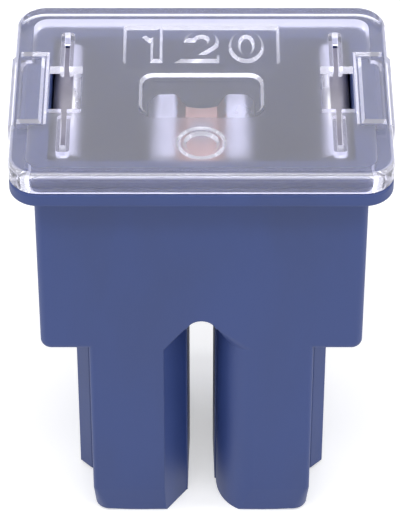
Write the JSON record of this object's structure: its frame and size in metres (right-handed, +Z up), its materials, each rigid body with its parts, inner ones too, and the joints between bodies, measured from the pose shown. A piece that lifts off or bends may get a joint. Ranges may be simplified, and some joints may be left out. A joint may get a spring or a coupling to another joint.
{
  "type": "automotive cartridge fuse",
  "caption": "Plug-in slow-blow fuse: blue housing on two hollow terminal legs, clear clip-on cover, folded strip with a fusible link inside.",
  "frame": {"origin": "on the plane of the leg ends, midway between the legs", "axes": "+Z up from the leg ends to the cover, +X across the two legs, -Y the front"},
  "size_m": [0.0242, 0.0172, 0.0316],
  "materials": {
    "housing": "fine moulded satin",
    "cover": "clear, lightly frosted top",
    "fuse_element": "tin-plated copper alloy, bare at the link",
    "tin_pellet": "dull tin",
    "left_contact_spring": "rolled stainless",
    "right_contact_spring": "rolled stainless"
  },
  "bodies": {
    "root": {"housing": "housing", "cover": "cover", "fuse_element": "fuse_element", "tin_pellet": "tin_pellet", "left_contact_spring": "left_contact_spring", "right_contact_spring": "right_contact_spring"}
  },
  "joints": []
}
